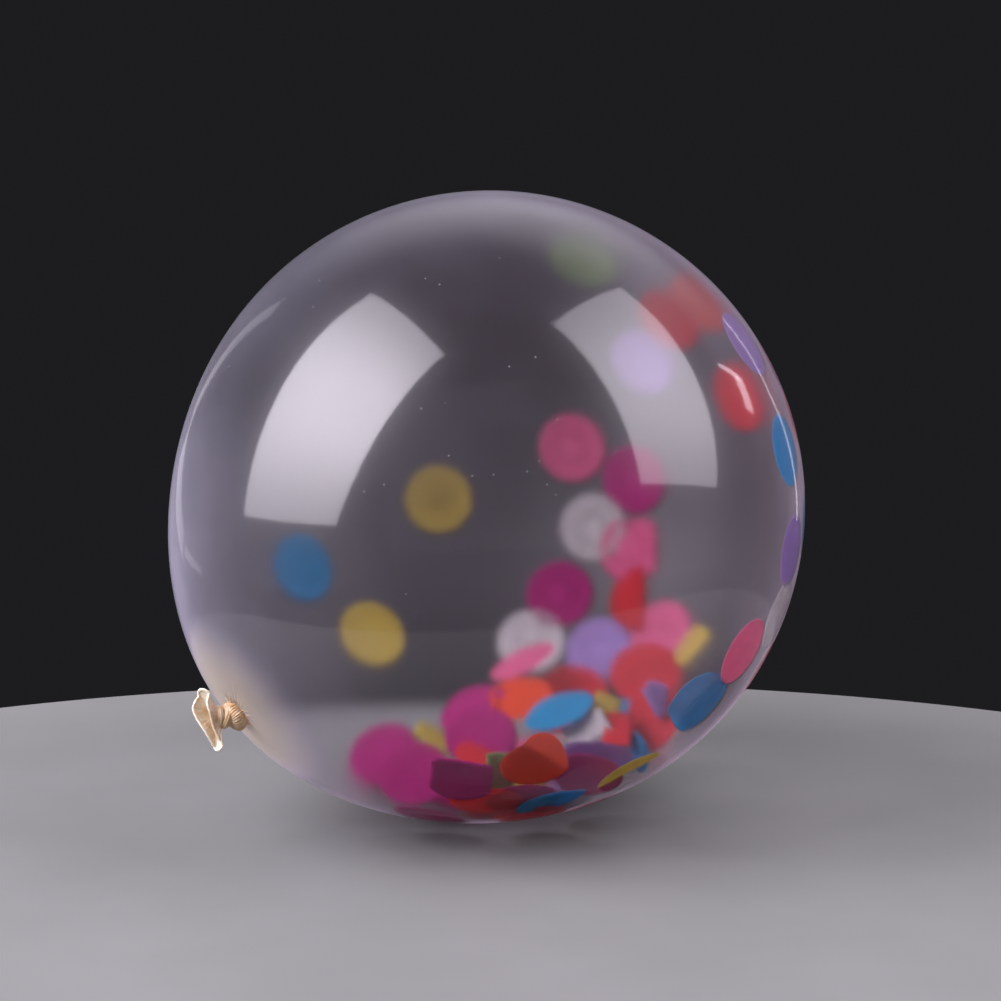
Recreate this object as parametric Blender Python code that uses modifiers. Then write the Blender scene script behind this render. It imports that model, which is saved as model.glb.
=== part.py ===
"""Confetti balloon: a round clear latex balloon, tied off and lying as it comes to rest.

The rubber is one moulded piece: the blown body, the gathered collar, the knot and the
flattened mouth with its rolled lip. It is sealed, so it is one solid. Units are metres,
+Z is up and -Y is the front. The origin is the middle of the small flat underneath.

The balloon is drawn in its own frame first: the middle of the body at the origin, the
neck along -Z, +X on the neck's lower side and +Y on its back. Then it is laid down.
"""
import bpy
import bmesh
import math
from mathutils import Matrix, Vector

# Blown body
BODY_WIDTH = 0.280
NECK_BULGE = 0.0105         # extra reach at the neck, over a round ball
BULGE_POWER = 5             # a higher power keeps the bulge closer to the neck
BODY_SIDES = 64
BODY_RINGS = 36

# How it lies
NECK_DIP = math.radians(30.6)      # the neck points this far below the horizontal
NECK_HEADING = math.radians(34.4)  # and is turned this far from the left to the front
FOOT_RADIUS = 0.016                # flat spot that keeps it from rolling

# Gathered collar, where the neck is drawn together against the body
COLLAR_RADIUS = 0.0067
COLLAR_LENGTH = 0.0084
COLLAR_STAND = 0.0026       # its middle, out from the end of the body
COLLAR_PLEATS = 13
PLEAT_DEPTH = 0.00045
PLEAT_STEPS = 4             # points round the collar for each pleat
COLLAR_RINGS = 8
COLLAR_SWING = math.radians(72)

# Knot: two turns of the twisted neck round its core
KNOT_POINTS = Vector((-0.60, 0.21, -0.77)).normalized()
INNER_WRAP_OFFSET = 0.0038  # from the middle of the collar, along the knot
INNER_WRAP_RING = 0.0036
INNER_WRAP_THICKNESS = 0.0035
OUTER_WRAP_OFFSET = 0.0068
OUTER_WRAP_RING = 0.0029
OUTER_WRAP_THICKNESS = 0.0031
WRAP_LEAN = math.radians(11)       # the two turns lean towards each other on top
WRAP_SEGMENTS = 22
WRAP_SIDES = 10
CORE_SIDES = 16

# Flattened mouth beyond the knot
TAIL_POINTS = Vector((-0.43, -0.17, -0.89)).normalized()
LIP_RUNS = Vector((0.88, -0.29, -0.38))     # along the flattened lip, top to bottom
THROAT_OFFSET = 0.0080      # from the middle of the collar, along the knot
THROAT_RADIUS = 0.0032
TAIL_REACH = 0.0080         # throat to the furthest point of the lip
LIP_BOW = 0.50              # share of the reach by which the lip's ends stay back
LIP_DROP = 0.0011           # the middle of the lip lies this far below the throat
LIP_WIDTH = 0.0270
LIP_BEAD = 0.0012           # thickness of the rolled lip
LIP_PINCH = 0.0021          # gap between the two layers where the mouth is pressed shut
LIP_GAPE = 0.0066           # and where it stands open
GAPE_PLACE = -0.55          # along the lip, from -1 at the top to 1 at the bottom
GAPE_SPAN = 1.00
RUBBER_WALL = 0.0006
LIP_POINTS = 40
LIP_CORNER = math.radians(36)      # share of the turn that the rounded ends take
TAIL_FLOOR = 0.12           # how far up the tail the inside starts, as a share
TAIL_ROOT = -0.30           # how far the tail runs back into the knot
BEAD_STEPS = 6

LATEX_COLOUR = (0.60, 0.55, 0.60, 1.0)
LATEX_ROUGHNESS = 0.18


def clear_scene():
    for item in list(bpy.data.objects):
        bpy.data.objects.remove(item, do_unlink=True)


def new_collection(name):
    group = bpy.data.collections.new(name)
    bpy.context.scene.collection.children.link(group)
    return group


def mix(start, end, share):
    return start + (end - start) * share


def add_mesh(name, mesh, group):
    item = bpy.data.objects.new(name, mesh)
    group.objects.link(item)
    return item


def move_to(item, group):
    """Put an object that a primitive operator has made into one collection."""
    for holder in list(item.users_collection):
        holder.objects.unlink(item)
    group.objects.link(item)


def mark_as_helper(item):
    item.hide_render = True
    item.display_type = 'WIRE'
    return item


def make_latex():
    latex = bpy.data.materials.new("latex")
    latex.use_nodes = True
    shader = latex.node_tree.nodes["Principled BSDF"]
    shader.inputs["Base Color"].default_value = LATEX_COLOUR
    shader.inputs["Roughness"].default_value = LATEX_ROUGHNESS
    shader.inputs["Metallic"].default_value = 0.0
    return latex


# Body

def body_reach(angle):
    """From the middle of the body to the rubber, by the angle from the neck."""
    return BODY_WIDTH / 2 + NECK_BULGE * max(0.0, math.cos(angle)) ** BULGE_POWER


def body_point(angle):
    """Point of the body's profile, on its +X side."""
    reach = body_reach(angle)
    return Vector((reach * math.sin(angle), 0.0, -reach * math.cos(angle)))


def neck_end():
    return body_point(0.0)


def make_body(group):
    """Turned profile, from the crown down to the neck."""
    outline = bmesh.new()
    points = []
    for ring in range(BODY_RINGS + 1):
        point = body_point(math.pi * (1.0 - ring / BODY_RINGS))
        if ring in (0, BODY_RINGS):
            point.x = 0.0
        points.append(outline.verts.new(point))
    for above, below in zip(points, points[1:]):
        outline.edges.new((above, below))
    mesh = bpy.data.meshes.new("balloon")
    outline.to_mesh(mesh)
    outline.free()
    balloon = add_mesh("balloon", mesh, group)
    turn = balloon.modifiers.new("turn", 'SCREW')
    turn.axis = 'Z'
    turn.steps = BODY_SIDES
    turn.render_steps = BODY_SIDES
    turn.use_merge_vertices = True
    turn.merge_threshold = 0.00001
    turn.use_smooth_shade = True
    return balloon


# Lofted forms

def make_loft(name, rings, group):
    """Closed skin over rings of equally many points, with a flat cap at each end."""
    skin = bmesh.new()
    rows = [[skin.verts.new(point) for point in ring] for ring in rings]
    count = len(rows[0])
    for near, far in zip(rows, rows[1:]):
        for i in range(count):
            j = (i + 1) % count
            skin.faces.new((near[i], near[j], far[j], far[i]))
    skin.faces.new(rows[0])
    skin.faces.new(rows[-1])
    bmesh.ops.recalc_face_normals(skin, faces=skin.faces)
    mesh = bpy.data.meshes.new(name)
    skin.to_mesh(mesh)
    skin.free()
    mesh.shade_smooth()
    return mark_as_helper(add_mesh(name, mesh, group))


def collar_middle():
    return neck_end() + Vector((0.0, 0.0, -COLLAR_STAND))


def make_collar(group):
    """Pleated bulge of rubber between the body and the knot."""
    middle = collar_middle()
    count = COLLAR_PLEATS * PLEAT_STEPS
    rings = []
    for step in range(COLLAR_RINGS + 1):
        swing = COLLAR_SWING * (2.0 * step / COLLAR_RINGS - 1.0)
        along = -COLLAR_LENGTH / 2 * math.sin(swing)
        radius = COLLAR_RADIUS * math.cos(swing)
        depth = PLEAT_DEPTH if 0 < step < COLLAR_RINGS else 0.0
        ring = []
        for i in range(count):
            turn = 2.0 * math.pi * i / count
            out = radius + depth * math.cos(COLLAR_PLEATS * turn)
            ring.append(middle + Vector((out * math.cos(turn), out * math.sin(turn), along)))
        rings.append(ring)
    return make_loft("collar", rings, group)


# Knot

def facing(direction):
    """Turn that brings +Z round to a direction."""
    return direction.to_track_quat('Z', 'Y').to_matrix().to_4x4()


def make_wrap(name, offset, ring, thickness, lean, group):
    """One turn of the twisted neck round the core of the knot."""
    bpy.ops.mesh.primitive_torus_add(
        major_radius=ring, minor_radius=thickness / 2,
        major_segments=WRAP_SEGMENTS, minor_segments=WRAP_SIDES)
    wrap = bpy.context.object
    wrap.name = name
    move_to(wrap, group)
    place = Matrix.Translation(collar_middle() + KNOT_POINTS * offset)
    leaning = Matrix.Rotation(lean, 4, 'Y')
    wrap.data.transform(place @ leaning @ facing(KNOT_POINTS))
    wrap.data.shade_smooth()
    return mark_as_helper(wrap)


def make_core(group):
    """Middle of the knot, from the collar to the throat of the mouth."""
    bpy.ops.mesh.primitive_cylinder_add(
        vertices=CORE_SIDES, radius=max(INNER_WRAP_RING, THROAT_RADIUS), depth=THROAT_OFFSET)
    core = bpy.context.object
    core.name = "core"
    move_to(core, group)
    place = Matrix.Translation(collar_middle() + KNOT_POINTS * THROAT_OFFSET / 2)
    core.data.transform(place @ facing(KNOT_POINTS))
    core.data.shade_smooth()
    return mark_as_helper(core)


# Mouth

def half_gap(along):
    """Half the gap between the mouth's two layers, by the place along the lip."""
    off_middle = (along - GAPE_PLACE) / GAPE_SPAN
    opening = max(0.0, 1.0 - off_middle * off_middle) ** 2
    return mix(LIP_PINCH, LIP_GAPE, opening) / 2


def setback(along):
    """Share of the reach by which the lip stays back, by the place along it."""
    half = 1.0 - GAPE_PLACE if along > GAPE_PLACE else 1.0 + GAPE_PLACE
    return LIP_BOW * ((along - GAPE_PLACE) / half) ** 2


def lip_station(turn):
    """Place along the lip and outward angle, for a turn round the flattened mouth."""
    across = abs((turn + math.pi) % (2.0 * math.pi) - math.pi)
    from_end = min(across, math.pi - across)
    along = max(-1.0, min(1.0, math.cos(across) / math.cos(LIP_CORNER)))
    outward = math.pi / 2 * min(1.0, from_end / LIP_CORNER)
    if across > math.pi / 2:
        outward = math.pi - outward
    if math.sin(turn) < 0.0:
        outward = -outward
    return along, outward


def make_mouth(group):
    """Funnel of two layers of rubber pressed nearly flat, open at the rolled lip."""
    lip_runs = (LIP_RUNS - TAIL_POINTS * LIP_RUNS.dot(TAIL_POINTS)).normalized()
    thick = lip_runs.cross(TAIL_POINTS)
    throat = collar_middle() + KNOT_POINTS * THROAT_OFFSET
    spine = LIP_WIDTH / 2 - half_gap(1.0) - LIP_BEAD / 2

    def ring_at(share, offset, forward=0.0):
        ring = []
        flare = max(0.0, share)
        for i in range(LIP_POINTS):
            turn = 2.0 * math.pi * i / LIP_POINTS
            along, outward = lip_station(turn)
            round_way = lip_runs * math.cos(turn) + thick * math.sin(turn)
            flat_way = lip_runs * math.cos(outward) + thick * math.sin(outward)
            round_point = round_way * (THROAT_RADIUS + offset)
            flat_middle = lip_runs * (LIP_DROP + along * spine)
            flat_point = flat_middle + flat_way * (half_gap(along) + offset)
            reach = TAIL_REACH * (share - flare * setback(along)) + forward
            ring.append(throat + TAIL_POINTS * reach + round_point.lerp(flat_point, flare))
        return ring

    half_wall = RUBBER_WALL / 2
    bead = LIP_BEAD / 2
    wall_shares = (0.3, 0.6, 1.0 - bead / TAIL_REACH)
    rings = [ring_at(share, half_wall) for share in (TAIL_ROOT, 0.0) + wall_shares]
    for step in range(BEAD_STEPS + 1):
        roll = mix(math.radians(-20), math.radians(200), step / BEAD_STEPS)
        rings.append(ring_at(1.0, bead * math.cos(roll), bead * math.sin(roll)))
    rings += [ring_at(share, -half_wall) for share in wall_shares[::-1] + (TAIL_FLOOR,)]
    return make_loft("mouth", rings, group)


# Lying on its side

def foot_depth():
    """Depth of the cut that leaves a flat of the wanted radius under the ball."""
    return FOOT_RADIUS ** 2 / BODY_WIDTH


def lowest_point():
    """Point of the body that is lowest once it lies, in the balloon's own frame."""
    straight_down = math.pi / 2 - NECK_DIP
    angle = straight_down
    for _ in range(12):
        closeness = max(0.0, math.cos(angle))
        slope = -NECK_BULGE * BULGE_POWER * closeness ** (BULGE_POWER - 1) * math.sin(angle)
        angle = straight_down + math.atan2(slope, body_reach(angle))
    return body_point(angle)


def lie():
    """Place of the balloon's own frame once it lies with its flat spot at the origin."""
    roll = Matrix.Rotation(NECK_HEADING, 4, 'Z') @ Matrix.Rotation(math.pi / 2 - NECK_DIP, 4, 'Y')
    under = roll @ lowest_point()
    return Matrix.Translation(Vector((0.0, 0.0, -foot_depth())) - under) @ roll


def make_foot_cutter(group):
    """Block whose top face is the ground that the balloon lies on."""
    bpy.ops.mesh.primitive_cube_add(size=BODY_WIDTH, location=(0.0, 0.0, -BODY_WIDTH / 2))
    block = bpy.context.object
    block.name = "foot_cutter"
    move_to(block, group)
    return mark_as_helper(block)


def combine(balloon, helper, operation):
    step = balloon.modifiers.new(helper.name, 'BOOLEAN')
    step.operation = operation
    step.solver = 'EXACT'
    step.object = helper


def main():
    clear_scene()
    parts = new_collection("confetti_balloon")
    helpers = new_collection("balloon_cutters")
    balloon = make_body(parts)
    balloon.data.materials.append(make_latex())
    pieces = [
        make_collar(helpers),
        make_core(helpers),
        make_wrap("inner_wrap", INNER_WRAP_OFFSET, INNER_WRAP_RING, INNER_WRAP_THICKNESS,
                  WRAP_LEAN, helpers),
        make_wrap("outer_wrap", OUTER_WRAP_OFFSET, OUTER_WRAP_RING, OUTER_WRAP_THICKNESS,
                  -WRAP_LEAN, helpers),
        make_mouth(helpers),
    ]
    place = lie()
    for item in [balloon] + pieces:
        item.matrix_world = place
    for piece in pieces:
        combine(balloon, piece, 'UNION')
    combine(balloon, make_foot_cutter(helpers), 'DIFFERENCE')


main()
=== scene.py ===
"""Looks of the confetti balloon: clear milky latex, its tied neck, and tissue discs inside.

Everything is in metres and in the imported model's frame. The balloon's own frame has the
middle of the body at its origin, the neck along -Z, +X on the neck's lower side and +Y on
its back, as the solid was drawn.
"""
import bpy
import bmesh
import math
import random
from mathutils import Matrix, Vector, noise


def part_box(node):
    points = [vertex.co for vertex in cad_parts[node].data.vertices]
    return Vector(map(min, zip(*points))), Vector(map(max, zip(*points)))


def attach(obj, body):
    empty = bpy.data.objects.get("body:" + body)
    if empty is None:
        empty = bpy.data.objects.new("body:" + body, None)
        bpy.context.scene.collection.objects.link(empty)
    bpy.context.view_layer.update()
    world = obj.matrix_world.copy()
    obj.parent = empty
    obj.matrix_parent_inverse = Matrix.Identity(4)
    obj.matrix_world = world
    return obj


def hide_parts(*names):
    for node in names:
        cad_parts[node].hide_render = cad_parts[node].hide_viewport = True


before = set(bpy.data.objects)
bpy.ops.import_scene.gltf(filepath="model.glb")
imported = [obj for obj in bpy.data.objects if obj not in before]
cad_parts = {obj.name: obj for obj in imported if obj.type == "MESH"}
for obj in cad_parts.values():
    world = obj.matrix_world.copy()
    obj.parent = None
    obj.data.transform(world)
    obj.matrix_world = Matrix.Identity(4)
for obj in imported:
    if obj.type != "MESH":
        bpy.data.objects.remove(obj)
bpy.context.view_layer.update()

# Blown body
BODY_WIDTH = 0.280
BODY_RADIUS = BODY_WIDTH / 2
NECK_BULGE = 0.0105         # extra reach at the neck, over a round ball
BULGE_POWER = 5             # a higher power keeps the bulge closer to the neck
NECK_DIP = math.radians(30.6)
NECK_HEADING = math.radians(34.4)
BODY_MIDDLE = Vector(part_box("balloon")[1]) - Vector((BODY_RADIUS, BODY_RADIUS, BODY_RADIUS))
SKIN_SIDES = 384
SKIN_RINGS = 120
RING_CROWDING = 1.7         # over 1, the rings lie closer together near the neck

# Gathered collar
COLLAR_RADIUS = 0.0067
COLLAR_LENGTH = 0.0084
COLLAR_STAND = 0.0026
COLLAR_SWING = math.radians(72)
COLLAR_SIDES = 312
COLLAR_RINGS = 28
COLLAR_PLEATS = 34
COARSE_PLEATS = 19
COARSE_SHARE = 0.7          # how deep the coarse pleats are beside the fine ones
PLEAT_DEPTH = 0.00016
PLEAT_WANDER = 3.0          # radians of its wave by which a pleat strays sideways
PLEAT_WANDER_RATES = (2.5, 150)     # how fast that changes: round the neck, and per metre along
PLEAT_UNEVENNESS = 1.2      # how much deeper or shallower a pleat gets in places
PLEAT_UNEVEN_RATES = (4, 100)
UNEVEN_START = 5.0          # where in the noise it starts, away from the wander

# Pleats that run out past the collar
LOOSE_PLEATS = 15
LOOSE_PLEAT_START = 0.0042  # from the neck's axis
LOOSE_PLEAT_LENGTHS = (0.0030, 0.0072)
LOOSE_PLEAT_THICKNESS = 0.00085
LOOSE_PLEAT_TAPER = 0.93    # share of that thickness lost at the tip
LOOSE_PLEAT_STRAY = 0.35    # how far one stands off its even place, as a share of their gap
LOOSE_PLEAT_SWERVE = 0.25   # radians by which one may lean aside
LOOSE_PLEAT_STEPS = 12
LOOSE_PLEAT_SIDES = 10

# Creases that run from the tied neck out over the body
CREASES = 31
CREASE_HEIGHT = 0.00030
CREASE_START = 0.8 * COLLAR_RADIUS
CREASE_FADE = 0.0036        # distance over which a crease falls to about a third
CREASE_UNEVENNESS = 0.6     # its usual height, and how much that changes, as shares
CREASE_UNEVEN_RATE = 3
CREASE_UNEVEN_START = 1.7
CREASE_WANDER = 1.2         # radians of its wave by which a crease strays sideways
CREASE_WANDER_RATES = (2, 60)

# Knot
KNOT_POINTS = Vector((-0.60, 0.21, -0.77)).normalized()
INNER_TURN = {"offset": 0.0038, "ring": 0.0036, "thickness": 0.0035, "lean": math.radians(11)}
OUTER_TURN = {"offset": 0.0068, "ring": 0.0029, "thickness": 0.0031, "lean": math.radians(-11)}
TURN_SEGMENTS = 120
TURN_SIDES = 40
TURN_SWELL = 0.10           # share by which a turn is thicker or thinner in places
TURN_SWELL_RATE = 1.6
TURN_TALLNESS = 1.1         # its thickness along the knot, over that across it
STRANDS = 9                 # ridges round a turn, where the twisted rubber is bunched
STRAND_DEPTH = 0.00014
STRAND_TWIST = 2            # times that a ridge winds round the turn
WELD_DISTANCE = 0.000001
CORE_RINGS = 12
CORE_SIDES = 64
CORE_RIDGES = 8
CORE_RIDGE_DEPTH = 0.05     # as a share of the core's radius
CORE_TWIST = 3.0            # radians by which its ridges wind from end to end

# Flattened mouth
TAIL_POINTS = Vector((-0.43, -0.17, -0.89)).normalized()
LIP_RUNS = Vector((0.88, -0.29, -0.38))
THROAT_OFFSET = 0.0080
THROAT_RADIUS = 0.0032
TAIL_REACH = 0.0080
TAIL_ROOT = -0.30
TAIL_RINGS = 14
LIP_BOW = 0.50
LIP_DROP = 0.0011
LIP_WIDTH = 0.0270
LIP_PINCH = 0.0021
LIP_GAPE = 0.0066
GAPE_PLACE = -0.55
GAPE_SPAN = 1.00
NEAR_LIP_SETBACK = 0.0034   # the near layer is this much shorter, so the inside shows
END_LOBE = 0.0012           # extra gap at the lower end of the lip
END_LOBE_SPAN = 0.16
RUBBER_WALL = 0.0005
LIP_POINTS = 160
LIP_CORNER = math.radians(36)
LIP_BEAD = 0.0012
BEAD_STEPS = 10
BEAD_START = math.radians(-20)      # the rolled lip runs from here on the outside
BEAD_END = math.radians(200)        # to here on the inside
FOLDS_ALONG_LIP = 9
FOLD_DEPTH = 0.00022
FOLD_FADE = 1.4             # the nearer to 1, the more the folds die out at the lip
FOLD_WANDER = 2.0           # radians of its wave by which a fold strays along the lip
FOLD_WANDER_RATE = 2.0
LAYERS_APART = 3.0          # keeps the folds of the two layers from being alike
FOLD_WANDER_START = 0.4

# Confetti
DISC_RADIUS = 0.0157
PAPER_THICKNESS = 0.00012
DISC_RINGS = 8
DISC_SECTORS = 40
WALL_GAP = 0.0006           # from the middle of the rubber to the middle of the paper
FOLD_RADIUS = 0.0005
PAPER_WAVE = 0.0010
CLINGING_WAVE = 0.0002
WAVES_PER_METRE = 70
WAVE_ROOM = 50              # each disc takes its waves from its own place in this much noise
TINT_MAP = "disc_tint"      # tells the material how pale a disc is
SEED = 4
NEAR = 0.0                  # depths at the near wall and at the far one
FAR = 1.0

# Discs of the pile that nothing in the photograph places one by one
FILL_COLOURS = ("red", "orange", "yellow", "green", "blue", "lilac", "magenta", "pink", "white")
FILL_WEIGHTS = (6, 3, 2, 1, 2, 2, 5, 6, 2)
FILL_DISCS = 70
FILL_SWAY = 0.16            # how far a disc tips from lying flat on the rubber
FILL_FOLDED = 0.35          # share of the discs that are folded
FILL_FOLD_PLACES = (0.1, 0.6)       # their creases, from the middle, as shares of the radius
FILL_FOLD_ANGLES = (60, 160)
FILL_CURL = 0.2
PILE_LEAN = math.radians(12)        # the pile's middle lies this far to the right
PILE_SPREAD = math.radians(34)
PILE_DEPTH = 0.036
PILE_FRONT = -0.005                 # how near the front of the strewn discs comes
PILE_RIGHT = 0.062                  # and how far to the right

# Film: it scatters light a little as it goes through, so only what touches it looks crisp
FILM_BEND = 1.05
FILM_BLUR = 0.42
FILM_TINT = (0.58, 0.56, 0.59, 1.0)     # share of the lamps' light that gets through
FILM_MIRROR = 0.065         # share that its two faces mirror, where they are looked at squarely
MIRROR_POWER = 6.0          # a higher power keeps the full mirror closer to the edge
CLEAR_GLOSS = 0.07          # roughness of most of the outside
DULL_GLOSS = 0.28           # and of the rest of it
DULL_SHARE = 0.3
INSIDE_GLOSS = 0.55
MILK_ROUGHNESS = 0.5
LIT_THROUGH = 0.75          # share of the haze that is lit from its other side, seen from outside
LESS_LIT_INSIDE = -0.4      # and what that changes by, seen from inside

# Haze in the film. A ramp has two values of its mask, then the factors that they give
HAZE = 0.037                # share that it scatters widely, where it is looked through squarely
HAZE_POWER = -1.5           # how fast the haze thickens towards the edge
LEAST_SQUARENESS = 0.08
NECK_HAZE = 0.16            # and more than that where it is thick, at the neck
NECK_RAMP = (0.95, 1.0)
SMEAR_NOISE = (11.0, 4.0)
SMEAR_RAMP = (0.35, 0.7, 0.6, 1.5)
PAINTED_LIGHT_WAY = Vector((-0.75, 0.0, 0.50))       # painted light: the film is milkier and bluer on this side, where light falls on it
PAINTED_LIGHT_HAZE = (0.75, 0.8)                          # painted light: extra haze on that side, and least on the other, in shade
SHADED_SPOT_WAY = Vector((-0.62, -0.20, 0.76))      # painted shade: less haze round this spot at the upper left, so the film looks darker there
SHADED_SPOT_RAMP = (0.72, 1.0, 1.0, 0.2)
CLOUDY_SPOT = Vector((-0.78, -0.52, -0.36))     # and cloudier still round this one
CLOUDY_RAMP = (0.85, 1.0, 1.0, 2.2)
UNDERSIDE_SHADE_RAMP = (0.03, 0.11, 0.28, 1.0)            # painted shade: less haze and mirroring on the underside, as if it lay in shadow
MILKY = (0.72, 0.74, 0.89, 1.0)
DUSKY = (0.80, 0.66, 0.80, 1.0)
CREAM = (0.80, 0.74, 0.58, 1.0)
DUST_PER_METRE = 130.0
DUST_RAMP = (0.04, 0.07, 0.12, 0.0)
DUST_COLOUR = (0.85, 0.83, 0.85, 1.0)

# Gathered latex: deep where it is bunched at the collar, pale where it is stretched
DEEP_LATEX = (0.53, 0.35, 0.18, 1.0)
PALE_LATEX = (0.84, 0.76, 0.60, 1.0)
STRETCH_RAMP = (0.005, 0.017)       # distances from the collar
STREAK_NOISE = (320.0, 3.0)
STREAK_RAMP = (0.3, 0.7, -0.25, 0.25)
LATEX_ROUGHNESS = 0.38
LATEX_DEPTH = {"Subsurface Weight": 0.35, "Subsurface Radius": (1.0, 0.6, 0.3),
               "Subsurface Scale": 0.001}
LATEX_GRAIN_NOISE = (2500.0, 2.0)
LATEX_GRAIN_BUMP = 0.3
GRAIN_HEIGHT = 0.0001

# Tissue paper
TISSUE_COLOURS = {
    "red": (0.68, 0.03, 0.04),
    "orange": (0.74, 0.08, 0.02),
    "yellow": (0.65, 0.52, 0.09),
    "green": (0.36, 0.52, 0.22),
    "blue": (0.02, 0.33, 0.60),
    "lilac": (0.42, 0.28, 0.60),
    "magenta": (0.47, 0.015, 0.20),
    "pink": (0.80, 0.16, 0.34),
    "white": (0.64, 0.61, 0.61),
}
CLOUD_NOISE = (220.0, 4.0)
CLOUD_RAMP = (0.3, 0.7)
CLOUDINESS = 0.12           # how much lighter the cloudy patches are
FIBRE_NOISE = (2600.0, 3.0)
FIBRE_STRETCH = {"Scale": (1.0, 0.25, 0.6), "Rotation": (0.4, 0.2, 0.7)}
FIBRE_SHADE = 0.12          # how much lighter a fibre is
FIBRE_BUMP = 0.35
DISC_SHADES = (0.14, 0.83)  # spread of the discs' lightness, and the least of it
PAPER_FINISH = {"Roughness": 0.75, "Specular IOR Level": 0.15}
PAPER_LETS_THROUGH = 0.45

# Photograph: how far its camera stood, and what it showed
CAMERA_DISTANCE = 1.2
CAMERA_RISE = math.radians(10)
IMAGE_SIZE = 1001
FOCAL_PIXELS = 2683
MIDDLE_PIXEL = (490, 505.5)         # where the middle of the body shows
SENSOR_WIDTH = 36.0
RIGHT = Vector((1.0, 0.0, 0.0))
UP = Vector((0.0, math.sin(CAMERA_RISE), math.cos(CAMERA_RISE)))
NEARER = Vector((0.0, -math.cos(CAMERA_RISE), math.sin(CAMERA_RISE)))

# Floor and room
FLOOR_HALF_WIDTH = 0.42
FLOOR_HALF_DEPTH = 0.28
FLOOR_FORWARD = 0.04
FLOOR_THICKNESS = 0.02
FLOOR_SEGMENTS = 256
FLOOR_SHADES = ((0.175, 0.18, 0.175, 1.0), (0.19, 0.195, 0.19, 1.0))
FLOOR_NOISE = (9.0, 3.0)
FLOOR_RAMP = (0.3, 0.7)
FLOOR_FINISH = {"Roughness": 0.5, "Specular IOR Level": 0.25}
ROOM_COLOUR = (0.012, 0.012, 0.014, 1.0)

# Soft lights; edges says how bright their edges are beside their middle, across and along
SOFTBOX_DISTANCE = 1.5
LIGHT_TINT = (0.96, 0.90, 1.0)
LAMP_MIDDLE = 0.5           # as a share of a lamp's size, and as far again to its edge
FADE_START = 0.05           # how far from its middle the light starts to fade
SOFTBOXES = {
    "left_softbox": {"towards": Vector((-1.148, -0.427, 0.875)), "size": (1.25, 1.78),
                     "lean": 2.0, "radiance": 12.3, "edges": (1.0, 0.52)},
    "right_softbox": {"towards": Vector((1.162, -0.253, 0.921)), "size": (0.99, 1.68),
                      "lean": -16.0, "radiance": 7.3, "edges": (1.0, 0.62)},
    "front_softbox": {"towards": Vector((0.15, -1.0, 0.45)), "size": (2.6, 1.6),
                      "lean": 0.0, "radiance": 0.12, "edges": (1.0, 1.0)},
    "back_softbox": {"towards": Vector((0.20, 0.75, 0.85)), "size": (3.2, 1.5),
                     "lean": 0.0, "radiance": 1.5, "edges": (0.0, 0.0)},
}

# Narrow lights: the pixels between which their mirror images run, their width and radiance
STRIPS = {
    "left_strip_top": ((277, 307), (195, 411), 0.10, 1.1),
    "left_strip_middle": ((190, 428), (192, 519), 0.13, 1.2),
    "left_strip_foot": ((194, 523), (213, 541), 0.045, 1.2),
    "right_strip_top": ((723, 319), (770, 395), 0.03, 4.0),
    "right_strip_foot": ((770, 395), (797, 520), 0.03, 4.0),
    "glint_bar": ((719, 365), (739, 378), 0.035, 9.0),
    "glint_leg": ((738, 377), (750, 411), 0.12, 7.0),
}


def mix(start, end, share):
    return start + (end - start) * share


def body_reach(angle):
    """From the middle of the body to the rubber, by the angle from the neck."""
    return BODY_RADIUS + NECK_BULGE * max(0.0, math.cos(angle)) ** BULGE_POWER


def lie():
    """Place of the balloon's own frame where it lies."""
    roll = Matrix.Rotation(NECK_HEADING, 4, 'Z') @ Matrix.Rotation(math.pi / 2 - NECK_DIP, 4, 'Y')
    return Matrix.Translation(BODY_MIDDLE) @ roll


PLACE = lie()
NECK_WAY = (PLACE.to_3x3() @ Vector((0.0, 0.0, -1.0))).normalized()
COLLAR_MIDDLE = Vector((0.0, 0.0, -body_reach(0.0) - COLLAR_STAND))


def add_piece(name, mesh, material):
    """Object that rides with the balloon, with its material."""
    piece = bpy.data.objects.new(name, mesh)
    bpy.context.scene.collection.objects.link(piece)
    mesh.materials.append(material)
    mesh.shade_smooth()
    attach(piece, "root")
    return piece


def add_rubber(name, mesh, material):
    """Piece drawn in the balloon's own frame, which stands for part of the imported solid."""
    mesh.transform(PLACE)
    piece = add_piece(name, mesh, material)
    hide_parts("balloon")


def finished_mesh(name, form):
    """Mesh made from a working form, which is freed."""
    mesh = bpy.data.meshes.new(name)
    form.to_mesh(mesh)
    form.free()
    return mesh


def loft(name, rings, capped=True):
    """Mesh skin over rings of equally many points."""
    skin = bmesh.new()
    rows = [[skin.verts.new(point) for point in ring] for ring in rings]
    count = len(rows[0])
    for near, far in zip(rows, rows[1:]):
        for i in range(count):
            j = (i + 1) % count
            skin.faces.new((near[i], near[j], far[j], far[i]))
    if capped:
        skin.faces.new(rows[0])
        skin.faces.new(rows[-1])
    bmesh.ops.recalc_face_normals(skin, faces=skin.faces)
    return finished_mesh(name, skin)


def spin(turn):
    """Way out from the neck's axis, for a turn about it."""
    return Vector((math.cos(turn), math.sin(turn), 0.0))


def turns_of(count):
    """Even steps once round."""
    return [2.0 * math.pi * step / count for step in range(count)]


def noise_round(way, height, rate, start=0.0):
    """Noise that closes on itself round an axis; a higher rate makes it change faster."""
    return noise.noise(way * rate + Vector((start, 0.0, height)))


# Blown skin

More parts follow.
